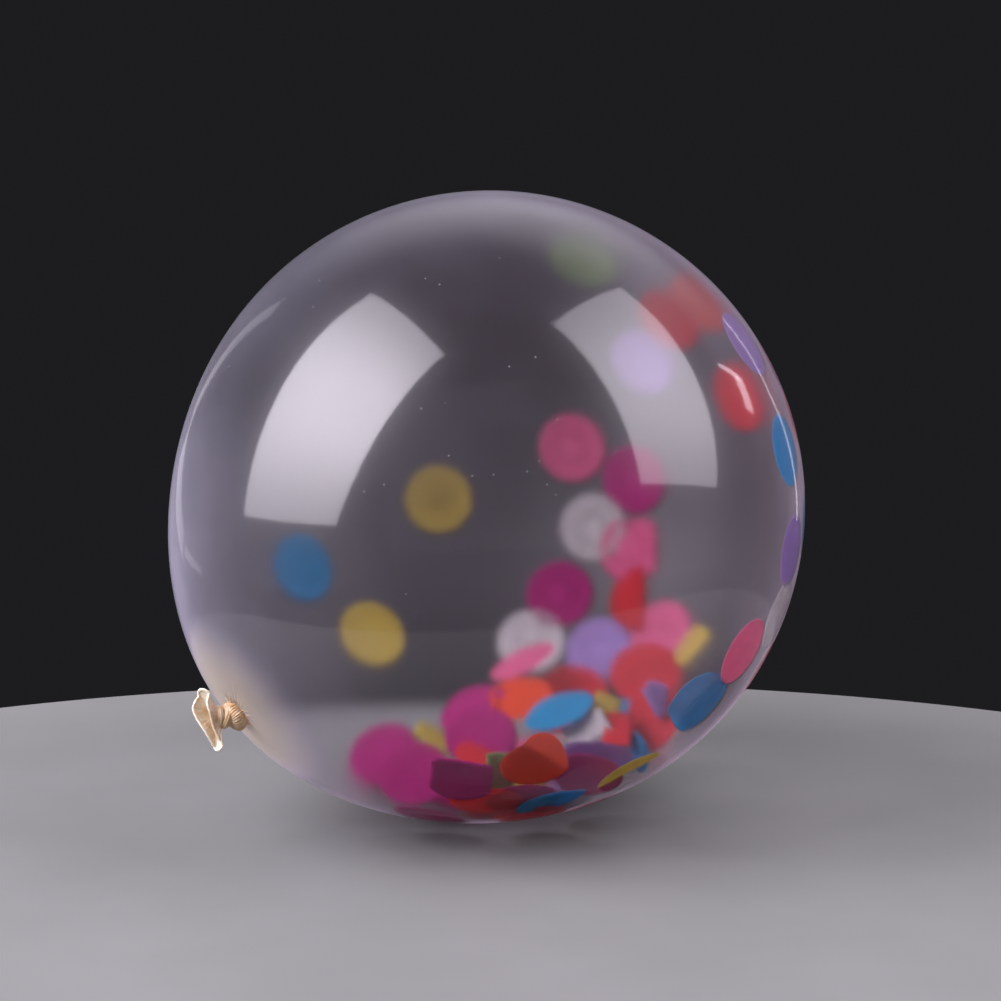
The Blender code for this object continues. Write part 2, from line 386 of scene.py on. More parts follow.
def crease_lift(angle, turn):
    """How far a crease stands up, fading away from the collar."""
    beyond = max(0.0, BODY_RADIUS * angle - CREASE_START)
    way = spin(turn)
    change = noise_round(way, CREASE_UNEVEN_START, CREASE_UNEVEN_RATE)
    uneven = CREASE_UNEVENNESS + CREASE_UNEVENNESS * change
    round_rate, along_rate = CREASE_WANDER_RATES
    wander = CREASE_WANDER * noise_round(way, beyond * along_rate, round_rate)
    fade = math.exp(-beyond / CREASE_FADE)
    return CREASE_HEIGHT * fade * uneven * math.cos(CREASES * turn + wander)


def skin_point(angle, turn):
    """Point of the rubber by the angle from the neck and the turn about its axis."""
    reach = body_reach(angle) + crease_lift(angle, turn)
    out = reach * math.sin(angle)
    return Vector((out * math.cos(turn), out * math.sin(turn), -reach * math.cos(angle)))


def rest_on_floor(point):
    """Point in the balloon's own frame, kept above the floor it lies on."""
    world = PLACE @ point
    if world.z >= 0.0:
        return point
    return PLACE.inverted() @ Vector((world.x, world.y, 0.0))


def make_skin(material):
    """Blown body: a grid round the neck's axis, finer near the neck."""
    skin = bmesh.new()
    rows = []
    for ring in range(1, SKIN_RINGS):
        angle = math.pi * (ring / SKIN_RINGS) ** RING_CROWDING
        rows.append([skin.verts.new(rest_on_floor(skin_point(angle, turn)))
                     for turn in turns_of(SKIN_SIDES)])
    for near, far in zip(rows, rows[1:]):
        for i in range(SKIN_SIDES):
            j = (i + 1) % SKIN_SIDES
            skin.faces.new((near[i], near[j], far[j], far[i]))
    for pole, row in ((skin_point(0.0, 0.0), rows[0]), (skin_point(math.pi, 0.0), rows[-1])):
        tip = skin.verts.new(pole)
        for i in range(SKIN_SIDES):
            skin.faces.new((row[i], row[(i + 1) % SKIN_SIDES], tip))
    bmesh.ops.recalc_face_normals(skin, faces=skin.faces)
    add_rubber("skin", finished_mesh("skin", skin), material)


# Tied neck

def make_collar(material):
    """Pleated bulge of gathered rubber between the body and the knot."""
    wander_round, wander_along = PLEAT_WANDER_RATES
    uneven_round, uneven_along = PLEAT_UNEVEN_RATES
    rings = []
    for step in range(COLLAR_RINGS + 1):
        swing = COLLAR_SWING * (2.0 * step / COLLAR_RINGS - 1.0)
        along = -COLLAR_LENGTH / 2 * math.sin(swing)
        ring = []
        for turn in turns_of(COLLAR_SIDES):
            way = spin(turn)
            wander = PLEAT_WANDER * noise_round(way, along * wander_along, wander_round)
            change = noise_round(way, along * uneven_along, uneven_round, UNEVEN_START)
            pleat = math.cos(COLLAR_PLEATS * turn + wander)
            pleat += COARSE_SHARE * math.cos(COARSE_PLEATS * turn - 2.0 * wander)
            pleat *= PLEAT_DEPTH * (1.0 + PLEAT_UNEVENNESS * change)
            out = (COLLAR_RADIUS + pleat) * math.cos(swing)
            ring.append(COLLAR_MIDDLE + way * out + Vector((0.0, 0.0, along)))
        rings.append(ring)
    add_rubber("collar", loft("collar", rings), material)


def make_loose_pleats(material):
    """Pleats that run out past the collar and lie on the body, each tapering to a point."""
    draw = random.Random(SEED)
    joined = bmesh.new()
    for count in range(LOOSE_PLEATS):
        stray = draw.uniform(-LOOSE_PLEAT_STRAY, LOOSE_PLEAT_STRAY)
        turn = 2.0 * math.pi * (count + stray) / LOOSE_PLEATS
        length = draw.uniform(*LOOSE_PLEAT_LENGTHS)
        swerve = draw.uniform(-LOOSE_PLEAT_SWERVE, LOOSE_PLEAT_SWERVE)
        sideways = Vector((-math.sin(turn), math.cos(turn), 0.0))
        rings = []
        for step in range(LOOSE_PLEAT_STEPS + 1):
            share = step / LOOSE_PLEAT_STEPS
            angle = (LOOSE_PLEAT_START + length * share) / BODY_RADIUS
            middle = skin_point(angle, turn + swerve * share)
            outward = middle.normalized()
            half = LOOSE_PLEAT_THICKNESS / 2 * (1.0 - LOOSE_PLEAT_TAPER * share)
            rings.append([middle + half * (sideways * math.cos(way) + outward * math.sin(way))
                          for way in turns_of(LOOSE_PLEAT_SIDES)])
        pleat = loft("pleat", rings)
        joined.from_mesh(pleat)
        bpy.data.meshes.remove(pleat)
    mesh = finished_mesh("loose_pleats", joined)
    add_rubber("loose_pleats", mesh, material)


def facing(direction):
    """Turn that brings +Z round to a direction."""
    return direction.to_track_quat('Z', 'Y').to_matrix().to_4x4()


def make_turn(name, sizes, material):
    """One turn of the twisted neck round the core of the knot."""
    place = Matrix.Translation(COLLAR_MIDDLE + KNOT_POINTS * sizes["offset"])
    place = place @ Matrix.Rotation(sizes["lean"], 4, 'Y') @ facing(KNOT_POINTS)
    tall = Vector((0.0, 0.0, TURN_TALLNESS))
    rings = []
    for turn in turns_of(TURN_SEGMENTS):
        outward = spin(turn)
        swell = 1.0 + TURN_SWELL * noise_round(outward, 0.0, TURN_SWELL_RATE)
        ring = []
        for round_way in turns_of(TURN_SIDES):
            ridge = STRAND_DEPTH * math.cos(STRANDS * round_way + STRAND_TWIST * turn)
            half = sizes["thickness"] / 2 * swell + ridge
            aside = outward * math.cos(round_way) + tall * math.sin(round_way)
            ring.append(place @ (outward * sizes["ring"] + aside * half))
        rings.append(ring)
    rings.append(rings[0])
    mesh = loft(name, rings, capped=False)
    joined = bmesh.new()
    joined.from_mesh(mesh)
    bmesh.ops.remove_doubles(joined, verts=joined.verts, dist=WELD_DISTANCE)
    joined.to_mesh(mesh)
    joined.free()
    add_rubber(name, mesh, material)


def make_core(material):
    """Middle of the knot, from the collar to the throat of the mouth."""
    turned = Matrix.Translation(COLLAR_MIDDLE) @ facing(KNOT_POINTS)
    rings = []
    for step in range(CORE_RINGS + 1):
        share = step / CORE_RINGS
        ring = []
        for turn in turns_of(CORE_SIDES):
            ridge = CORE_RIDGE_DEPTH * math.cos(CORE_RIDGES * turn + CORE_TWIST * share)
            out = THROAT_RADIUS * (1.0 + ridge)
            ring.append(turned @ Vector((out * math.cos(turn), out * math.sin(turn),
                                         share * THROAT_OFFSET)))
        rings.append(ring)
    add_rubber("knot_core", loft("knot_core", rings), material)


def half_gap(along):
    """Half the gap between the mouth's two layers, by the place along the lip."""
    off_middle = (along - GAPE_PLACE) / GAPE_SPAN
    opening = max(0.0, 1.0 - off_middle * off_middle) ** 2
    lobe = END_LOBE * math.exp(-((1.0 - along) / END_LOBE_SPAN) ** 2)
    return (mix(LIP_PINCH, LIP_GAPE, opening) + lobe) / 2


def setback(along):
    """Share of the reach by which the lip stays back, by the place along it."""
    half = 1.0 - GAPE_PLACE if along > GAPE_PLACE else 1.0 + GAPE_PLACE
    return LIP_BOW * ((along - GAPE_PLACE) / half) ** 2


def lip_station(turn):
    """Place along the lip and outward angle, for a turn round the flattened mouth."""
    across = abs((turn + math.pi) % (2.0 * math.pi) - math.pi)
    from_end = min(across, math.pi - across)
    along = max(-1.0, min(1.0, math.cos(across) / math.cos(LIP_CORNER)))
    outward = math.pi / 2 * min(1.0, from_end / LIP_CORNER)
    if across > math.pi / 2:
        outward = math.pi - outward
    if math.sin(turn) < 0.0:
        outward = -outward
    return along, outward


def lip_fold(along, side, flare):
    """How far the rubber stands out in the shallow folds that run down to the throat."""
    place = Vector((along * FOLD_WANDER_RATE, side * LAYERS_APART, FOLD_WANDER_START))
    wander = FOLD_WANDER * noise.noise(place)
    fold = FOLD_DEPTH * math.sin(math.pi * FOLDS_ALONG_LIP * along + wander)
    return fold * flare * (FOLD_FADE - flare)


def make_mouth(material):
    """Funnel of two layers of rubber pressed nearly flat, open at the rolled lip."""
    lip_runs = (LIP_RUNS - TAIL_POINTS * LIP_RUNS.dot(TAIL_POINTS)).normalized()
    thick = lip_runs.cross(TAIL_POINTS)
    throat = COLLAR_MIDDLE + KNOT_POINTS * THROAT_OFFSET
    spine = LIP_WIDTH / 2 - half_gap(1.0) - LIP_BEAD / 2
    near_side = math.copysign(1.0, (PLACE.to_3x3() @ thick).dot(NEARER))

    def ring_at(share, offset, forward=0.0):
        ring = []
        flare = max(0.0, share)
        for turn in turns_of(LIP_POINTS):
            along, outward = lip_station(turn)
            fold = lip_fold(along, math.copysign(1.0, math.sin(turn)), flare)
            round_way = lip_runs * math.cos(turn) + thick * math.sin(turn)
            flat_way = lip_runs * math.cos(outward) + thick * math.sin(outward)
            round_point = round_way * (THROAT_RADIUS + offset)
            flat_middle = lip_runs * (LIP_DROP + along * spine)
            flat_point = flat_middle + flat_way * (half_gap(along) + offset + fold)
            shorter = NEAR_LIP_SETBACK * flare * max(0.0, near_side * math.sin(turn))
            reach = TAIL_REACH * (share - flare * setback(along)) + forward - shorter
            ring.append(throat + TAIL_POINTS * reach + round_point.lerp(flat_point, flare))
        return ring

    half_wall = RUBBER_WALL / 2
    bead = LIP_BEAD / 2
    last_share = 1.0 - bead / TAIL_REACH
    shares = [mix(0.0, last_share, step / TAIL_RINGS) for step in range(TAIL_RINGS + 1)]
    rings = [ring_at(TAIL_ROOT, half_wall)]
    rings += [ring_at(share, half_wall) for share in shares]
    for step in range(BEAD_STEPS + 1):
        roll = mix(BEAD_START, BEAD_END, step / BEAD_STEPS)
        rings.append(ring_at(1.0, bead * math.cos(roll), bead * math.sin(roll)))
    rings += [ring_at(share, -half_wall) for share in shares[:0:-1]]
    add_rubber("mouth", loft("mouth", rings), material)


# Where things show in the photograph

def photo_point(pixel):
    """Point level with the middle of the body that shows at a pixel."""
    scale = CAMERA_DISTANCE / FOCAL_PIXELS
    across = (pixel[0] - MIDDLE_PIXEL[0]) * scale
    upward = (MIDDLE_PIXEL[1] - pixel[1]) * scale
    return BODY_MIDDLE + RIGHT * across + UP * upward


def first_touch(pixel, radius):
    """Where a line of sight meets a round ball, from the ball's middle, and the line's way."""
    eye = NEARER * CAMERA_DISTANCE
    ray = (photo_point(pixel) - BODY_MIDDLE - eye).normalized()
    halfway = -ray.dot(eye)
    room = halfway ** 2 - eye.length_squared + radius ** 2
    return eye + ray * (halfway - math.sqrt(max(0.0, room))), ray


def inside_point(pixel, depth):
    """Point inside that shows at a pixel: depth 0 is on the near wall and 1 on the far one."""
    entry, ray = first_touch(pixel, BODY_RADIUS - WALL_GAP)
    outward = entry.normalized()
    square = -ray.dot(outward)
    square_inside = math.sqrt(1.0 - (1.0 - square ** 2) / FILM_BEND ** 2)
    way = (ray / FILM_BEND + outward * (square / FILM_BEND - square_inside)).normalized()
    return BODY_MIDDLE + entry + way * (-2.0 * entry.dot(way) * depth)


def mirrored_place(pixel):
    """Where a lamp stands whose mirror image in a round ball shows at a pixel."""
    touch, ray = first_touch(pixel, BODY_RADIUS)
    outward = touch.normalized()
    return touch + (ray - outward * (2.0 * ray.dot(outward))) * SOFTBOX_DISTANCE


def keep_inside(point):
    """Point moved in, if need be, to lie just inside the rubber."""
    from_middle = point - BODY_MIDDLE
    angle = from_middle.angle(NECK_WAY)
    limit = body_reach(angle) - WALL_GAP
    if from_middle.length > limit:
        point = BODY_MIDDLE + from_middle * (limit / from_middle.length)
    point.z = max(point.z, WALL_GAP)
    return point


# Confetti

def crease(way, from_middle, angle):
    """A fold: the way to the part that turns over, where its crease lies, and how far it turns.

    A negative angle turns it the other way, to the back of the disc.
    """
    return {"way": math.radians(way), "from_middle": from_middle * DISC_RADIUS,
            "angle": math.radians(angle)}


def fold_over(flat, fold):
    """Point of a flat disc after the part beyond a straight crease has been folded over."""
    way = spin(fold["way"])
    beyond = flat.dot(way) - fold["from_middle"]
    if beyond <= 0.0:
        return flat
    bend = min(abs(fold["angle"]), beyond / FOLD_RADIUS)
    straight = beyond - bend * FOLD_RADIUS
    ahead = FOLD_RADIUS * math.sin(bend) + straight * math.cos(bend)
    lift = FOLD_RADIUS * (1.0 - math.cos(bend)) + straight * math.sin(bend)
    return flat + way * (ahead - beyond) + Vector((0.0, 0.0, math.copysign(lift, fold["angle"])))


def disc_axes(facing_way, level_way):
    """Matrix whose Z is the way that a disc faces and whose X is as level as can be."""
    normal = facing_way.normalized()
    across = (level_way - normal * level_way.dot(normal)).normalized()
    return Matrix((across, normal.cross(across), normal)).transposed()


def add_disc(paper, middle, axes, draw, folds, curl, waviness):
    """Round piece of tissue: thin, slightly wavy, perhaps curled or folded over."""
    wave_place = Vector((draw.uniform(0, WAVE_ROOM), draw.uniform(0, WAVE_ROOM), 0.0))
    tint = draw.random()
    layer = paper.loops.layers.uv[TINT_MAP]

    def placed(out, turn, height):
        u = out * math.cos(turn)
        v = out * math.sin(turn)
        wave = waviness * noise.noise(wave_place + Vector((u, v, 0.0)) * WAVES_PER_METRE)
        flat = Vector((u, v, height))
        for fold in folds:
            flat = fold_over(flat, fold)
        flat.z += wave + curl * v * v / DISC_RADIUS
        return keep_inside(middle + axes @ flat)

    rims = []
    faces = []
    for height in (PAPER_THICKNESS / 2, -PAPER_THICKNESS / 2):
        hub = paper.verts.new(placed(0.0, 0.0, height))
        rows = [[paper.verts.new(placed(DISC_RADIUS * ring / DISC_RINGS, turn, height))
                 for turn in turns_of(DISC_SECTORS)]
                for ring in range(1, DISC_RINGS + 1)]
        for i in range(DISC_SECTORS):
            j = (i + 1) % DISC_SECTORS
            loops = [(hub, rows[0][i], rows[0][j])]
            loops += [(near[i], far[i], far[j], near[j]) for near, far in zip(rows, rows[1:])]
            for corners in loops:
                faces.append(paper.faces.new(corners if height > 0.0 else corners[::-1]))
        rims.append(rows[-1])
    above, below = rims
    for i in range(DISC_SECTORS):
        j = (i + 1) % DISC_SECTORS
        faces.append(paper.faces.new((above[i], below[i], below[j], above[j])))
    for face in faces:
        for loop in face.loops:
            loop[layer].uv = (tint, 0.0)


class Confetti:
    """All the tissue discs, kept apart by colour."""

    def __init__(self):
        self.draw = random.Random(SEED)
        self.papers = {}

    def add(self, colour, middle, axes, folds=(), curl=0.0, waviness=PAPER_WAVE):
        if colour not in self.papers:
            self.papers[colour] = bmesh.new()
            self.papers[colour].loops.layers.uv.new(TINT_MAP)
        paper = self.papers[colour]
        add_disc(paper, middle, axes, self.draw, folds, curl, waviness)

    def cling(self, colour, pixel, depth, folds=()):
        """Disc flat on the wall where the photograph shows it."""
        middle = inside_point(pixel, depth)
        self.add(colour, middle, disc_axes(BODY_MIDDLE - middle, RIGHT), folds,
                 waviness=CLINGING_WAVE)

    def lie_loose(self, colour, pixel, depth, slope, squash, folds=()):
        """Disc that shows as an ellipse: its slope, and its width for a length of 1."""
        middle = inside_point(pixel, depth)
        along = math.radians(slope)
        long_way = RIGHT * math.cos(along) + UP * math.sin(along)
        short_way = RIGHT * -math.sin(along) + UP * math.cos(along)
        tip = math.acos(min(1.0, abs(squash)))
        normal = NEARER * math.cos(tip) + short_way * math.copysign(math.sin(tip), squash)
        self.add(colour, middle, disc_axes(normal, long_way), folds)

    def finish(self, materials):
        for colour, paper in self.papers.items():
            name = colour + "_confetti"
            add_piece(name, finished_mesh(name, paper), materials[colour])


# Middles of the flat discs that cling to the far wall
FAR_SPOTS = {
    "green": [(585, 258)],
    "red": [(672, 318), (743, 396)],
    "pink": [(573, 448), (662, 634)],
    "magenta": [(635, 480), (560, 595)],
    "lilac": [(645, 362), (599, 650)],
    "white": [(594, 528), (531, 643)],
    "yellow": [(438, 500), (369, 637)],
    "blue": [(299, 571)],
}


def place_far_discs(box):
    for colour, spots in FAR_SPOTS.items():
        for spot in spots:
            box.cling(colour, spot, FAR)
    box.cling("pink", (632, 549), FAR, [crease(0, 0.78, 168), crease(90, 0.85, 160)])
    box.cling("red", (642, 600), FAR, [crease(0, 0.10, 172)])
    box.cling("orange", (707, 297), FAR)


# Flat discs on the near wall: one at the lower left, and the rest up the right side
NEAR_SPOTS = [
    ("magenta", (430, 811), NEAR),
    ("pink", (744, 652), NEAR),
    ("white", (778, 615), NEAR),
    ("lilac", (792, 551), NEAR),
    ("blue", (786, 450), NEAR),
    ("lilac", (745, 343), NEAR),
    ("red", (795, 414), NEAR),
    ("red", (765, 668), NEAR),
    ("magenta", (772, 366), NEAR),
    ("blue", (805, 522), NEAR),
]

# Flat discs at the bottom, just behind the near wall
BOTTOM_SPOTS = [
    ("red", (486, 800), 0.05),
    ("red", (530, 813), 0.04),
    ("red", (592, 805), 0.05),
    ("magenta", (520, 797), 0.08),
]


def place_near_discs(box):
    box.lie_loose("blue", (696, 702), 0.05, 43, -0.60, [crease(180, 0.70, 60)])
    box.lie_loose("yellow", (629, 770), 0.05, 29, -0.07)
    box.cling("orange", (537, 763), NEAR, [crease(-40, 0.30, 62)])
    box.lie_loose("magenta", (461, 777), 0.02, -8, -0.68,
                  [crease(180, 0.80, -100), crease(0, 0.80, -100), crease(90, 0.66, -140)])
    for spot in NEAR_SPOTS:
        box.cling(*spot)
    box.lie_loose("blue", (551, 801), 0.03, 18, -0.24)
    for spot in BOTTOM_SPOTS:
        box.cling(*spot)


def place_loose_discs(box):
    """Discs on top of the pile, some so folded that only a part of them shows."""
    shorter = [crease(0, 0.6, -150), crease(180, 0.6, -150)]
    scrap = [crease(0, 0.36, -150), crease(180, 0.36, -150)]
    small = [*shorter, crease(90, 0.45, -160), crease(-90, 0.40, -160)]
    quarter = [crease(90, 0.0, -170), crease(180, 0.0, -170)]
    other_quarter = [crease(-90, 0.0, -170), crease(0, 0.0, -170)]
    box.lie_loose("pink", (522, 662), 0.82, 27, 0.28)
    box.lie_loose("orange", (517, 699), 0.72, 15, 0.50, [crease(180, 0.75, 150)])
    box.lie_loose("magenta", (472, 711), 0.75, 25, 0.55)
    box.lie_loose("magenta", (480, 738), 0.55, 5, 0.80)
    box.lie_loose("red", (646, 674), 0.80, 10, 0.80)
    box.lie_loose("red", (572, 688), 0.88, 0, 0.55)
    box.lie_loose("red", (652, 722), 0.50, 60, 0.70)
    box.lie_loose("blue", (559, 711), 0.50, 21, 0.40)
    box.lie_loose("yellow", (607, 706), 0.55, -25, 0.30, scrap)
    box.lie_loose("white", (587, 731), 0.44, 30, 0.80, small)
    box.lie_loose("red", (618, 729), 0.42, -8, 0.42, scrap)
    box.lie_loose("lilac", (661, 717), 0.45, -68, 0.60, other_quarter)
    box.lie_loose("yellow", (692, 646), 0.80, 50, 0.20, shorter)
    box.lie_loose("lilac", (598, 755), 0.34, -8, -0.38)
    box.lie_loose("blue", (619, 765), 0.42, 66, 0.60, quarter)
    box.lie_loose("magenta", (588, 776), 0.22, -12, -0.62)
    box.lie_loose("red", (490, 757), 0.50, -10, 0.42)
    box.lie_loose("yellow", (434, 739), 0.72, -30, 0.20, shorter)
    box.lie_loose("green", (500, 774), 0.25, 0, -0.60, scrap)
    box.lie_loose("magenta", (412, 775), 0.45, 10, 0.85)
    box.lie_loose("magenta", (380, 757), 0.85, 20, 0.75)


def fill_pile(box):
    """The rest of the pile: discs strewn loosely over the bottom of the ball."""
    draw = box.draw
    down = Vector((math.sin(PILE_LEAN), 0.0, -math.cos(PILE_LEAN)))
    for _ in range(FILL_DISCS):
        colour = draw.choices(FILL_COLOURS, FILL_WEIGHTS)[0]
        spread = math.sqrt(draw.random())
        aside = spin(draw.uniform(0.0, 2.0 * math.pi))
        tilt = PILE_SPREAD * spread
        way = (down * math.cos(tilt) + aside * math.sin(tilt)).normalized()
        height = PILE_DEPTH * draw.random() * (1.0 - spread ** 2)
        place = way * (BODY_RADIUS - 2.0 * WALL_GAP - height)
        sway = Vector([draw.gauss(0.0, FILL_SWAY) for _ in range(3)])
        axes = disc_axes(sway - way, Vector([draw.gauss(0.0, 1.0) for _ in range(3)]))
        folds = []
        if draw.random() < FILL_FOLDED:
            folds.append(crease(draw.uniform(0, 360), draw.uniform(*FILL_FOLD_PLACES),
                                draw.uniform(*FILL_FOLD_ANGLES)))
        curl = draw.uniform(-FILL_CURL, FILL_CURL)
        if place.dot(NEARER) < PILE_FRONT and place.dot(RIGHT) < PILE_RIGHT:
            box.add(colour, BODY_MIDDLE + place, axes, folds, curl)


# Materials

def new_material(name):
    material = bpy.data.materials.new(name)
    material.use_nodes = True
    material.node_tree.nodes.clear()
    return material


class Nodes:
    """Short way to add and join nodes in one tree."""

    def __init__(self, tree):
        self.tree = tree

    def add(self, kind, sockets=None, **settings):
        """New node, with some of its named sockets joined or set to plain values."""
        node = self.tree.nodes.new(kind)
        for key, value in settings.items():
            setattr(node, key, value)
        for name, value in (sockets or {}).items():
            self.feed(node.inputs[name], value)
        return node

    def feed(self, socket, value):
        """Join a socket to another, or set its plain value."""
        if isinstance(value, bpy.types.NodeSocket):
            self.tree.links.new(value, socket)
        else:
            socket.default_value = value

    def math(self, operation, *values):
        node = self.add('ShaderNodeMath', operation=operation)
        for socket, value in zip(node.inputs, values):
            self.feed(socket, value)
        return node.outputs[0]

    def vector(self, operation, *values):
        node = self.add('ShaderNodeVectorMath', operation=operation)
        for socket, value in zip(node.inputs, values):
            self.feed(socket, value)
        single = operation in ('DOT_PRODUCT', 'DISTANCE')
        return node.outputs["Value" if single else "Vector"]

    def ramp(self, value, low, high, to_low=0.0, to_high=1.0):
        """Smooth step from one value to another."""
        return self.add('ShaderNodeMapRange', {
            "Value": value, "From Min": low, "From Max": high, "To Min": to_low,
            "To Max": to_high}, interpolation_type='SMOOTHSTEP').outputs["Result"]

    def mix_colour(self, share, first, second):
        node = self.add('ShaderNodeMix', data_type='RGBA')
        self.feed(node.inputs[0], share)
        self.feed(node.inputs[6], first)
        self.feed(node.inputs[7], second)
        return node.outputs[2]

    def noise(self, place, scale, detail):
        return self.add('ShaderNodeTexNoise', {
            "Vector": place, "Scale": scale, "Detail": detail}).outputs["Fac"]

    def bump(self, height, strength, distance):
        return self.add('ShaderNodeBump', {
            "Strength": strength, "Distance": distance, "Height": height}).outputs["Normal"]

    def mix_shaders(self, share, first, second):
        node = self.add('ShaderNodeMixShader')
        self.feed(node.inputs[0], share)
        self.feed(node.inputs[1], first)
        self.feed(node.inputs[2], second)
        return node.outputs[0]

    def shader(self, kind, sockets):
        return self.add(kind, sockets).outputs[0]

    def surface(self, shader):
        self.add('ShaderNodeOutputMaterial', {"Surface": shader})


def film_haze(nodes, place, underside_shade):
    """Share of light that the film scatters widely, seen squarely, and the colour of that; part of
    it is painted light and shade, by side and by spot.
    """
    from_middle = nodes.vector('SUBTRACT', place, BODY_MIDDLE)
    outward = nodes.vector('NORMALIZE', from_middle)
    # Painted light and shade: the haze is thicker and bluer on the lit upper left side, and thinner
    # on the shaded lower right
    painted_light_side = nodes.ramp(nodes.vector('DOT_PRODUCT', from_middle, PAINTED_LIGHT_WAY),
                            -BODY_RADIUS, BODY_RADIUS)
    # Painted shade: thinner haze round a spot at the upper left, which darkens the film there
    painted_shade_spot = nodes.ramp(nodes.vector('DOT_PRODUCT', outward, SHADED_SPOT_WAY), *SHADED_SPOT_RAMP)
    cloudy = nodes.ramp(nodes.vector('DOT_PRODUCT', outward, CLOUDY_SPOT), *CLOUDY_RAMP)
    haze = nodes.ramp(nodes.noise(place, *SMEAR_NOISE), *SMEAR_RAMP)
    for factor in (nodes.math('MULTIPLY_ADD', painted_light_side, *PAINTED_LIGHT_HAZE), HAZE, painted_shade_spot, cloudy, underside_shade):
        haze = nodes.math('MULTIPLY', haze, factor)
    near_neck = nodes.ramp(nodes.vector('DOT_PRODUCT', outward, NECK_WAY), *NECK_RAMP)
    haze = nodes.math('MULTIPLY_ADD', near_neck, NECK_HAZE, haze)
    colour = nodes.mix_colour(near_neck, nodes.mix_colour(painted_light_side, DUSKY, MILKY), CREAM)
    return haze, colour


def make_film_material():
    """Clear blown latex: see-through, milky at a slant and near the neck, with a clear gloss."""
    material = new_material("clear_latex")
    nodes = Nodes(material.node_tree)
    place = nodes.add('ShaderNodeTexCoord').outputs["Object"]
    height = nodes.vector('DOT_PRODUCT', place, (0.0, 0.0, 1.0))
    # Painted shade: the underside hazes and mirrors less, so it stays darker than the lamps and the
    # pale floor make it
    underside_shade = nodes.ramp(height, *UNDERSIDE_SHADE_RAMP)
    haze, colour = film_haze(nodes, place, underside_shade)
    slant = nodes.add('ShaderNodeLayerWeight').outputs["Facing"]
    squareness = nodes.math('MAXIMUM', nodes.math('SUBTRACT', 1.0, slant), LEAST_SQUARENESS)
    layers = nodes.math('POWER', squareness, HAZE_POWER)
    clear = nodes.math('POWER', nodes.math('SUBTRACT', 1.0, haze), layers)
    opacity = nodes.math('SUBTRACT', 1.0, clear)
    from_inside = nodes.add('ShaderNodeNewGeometry').outputs["Backfacing"]
    lit_through = nodes.math('MULTIPLY_ADD', from_inside, LESS_LIT_INSIDE, LIT_THROUGH)
    milk = nodes.shader('ShaderNodeBsdfPrincipled', {
        "Base Color": colour, "Roughness": MILK_ROUGHNESS, "Specular IOR Level": 0.0})
    glow = nodes.shader('ShaderNodeBsdfTranslucent', {"Color": colour})
    body = nodes.mix_shaders(lit_through, milk, glow)
    straight_on = nodes.shader('ShaderNodeBsdfTransparent', {"Color": FILM_TINT})
    blurred = nodes.shader('ShaderNodeBsdfRefraction', {"Roughness": FILM_BLUR, "IOR": FILM_BEND})
    first_seen = nodes.add('ShaderNodeLightPath').outputs["Is Camera Ray"]
    clear_film = nodes.mix_shaders(first_seen, straight_on, blurred)
    seen = nodes.mix_shaders(opacity, clear_film, body)
    clear_gloss, dull_gloss, inside = (
        nodes.shader('ShaderNodeBsdfGlossy', {"Roughness": roughness})
        for roughness in (CLEAR_GLOSS, DULL_GLOSS, INSIDE_GLOSS))
    outside = nodes.mix_shaders(DULL_SHARE, clear_gloss, dull_gloss)
    gloss = nodes.mix_shaders(from_inside, outside, inside)
    mirror = nodes.math('MULTIPLY_ADD', nodes.math('POWER', slant, MIRROR_POWER),
                        1.0 - FILM_MIRROR, FILM_MIRROR)
    # The mirror share is cut on the underside too, as painted shade
    film = nodes.mix_shaders(nodes.math('MULTIPLY', mirror, underside_shade), seen, gloss)
    grains = nodes.add('ShaderNodeTexVoronoi', {"Vector": place, "Scale": DUST_PER_METRE})
    dust = nodes.ramp(grains.outputs["Distance"], *DUST_RAMP)
    speck = nodes.shader('ShaderNodeBsdfDiffuse', {"Color": DUST_COLOUR})
    nodes.surface(nodes.mix_shaders(dust, film, speck))
    return material


def make_gathered_material():
    """Unstretched cream latex: thick, satin, with light passing through it."""
    material = new_material("gathered_latex")
    nodes = Nodes(material.node_tree)
    place = nodes.add('ShaderNodeTexCoord').outputs["Object"]
    from_collar = nodes.vector('DISTANCE', place, PLACE @ COLLAR_MIDDLE)
    streaks = nodes.ramp(nodes.noise(place, *STREAK_NOISE), *STREAK_RAMP)
    pale = nodes.math('ADD', nodes.ramp(from_collar, *STRETCH_RAMP), streaks)
    grain = nodes.noise(place, *LATEX_GRAIN_NOISE)
    nodes.surface(nodes.shader('ShaderNodeBsdfPrincipled', {
        "Base Color": nodes.mix_colour(pale, DEEP_LATEX, PALE_LATEX),
        "Roughness": LATEX_ROUGHNESS,
        "Normal": nodes.bump(grain, LATEX_GRAIN_BUMP, GRAIN_HEIGHT),
        **LATEX_DEPTH}))
    return material


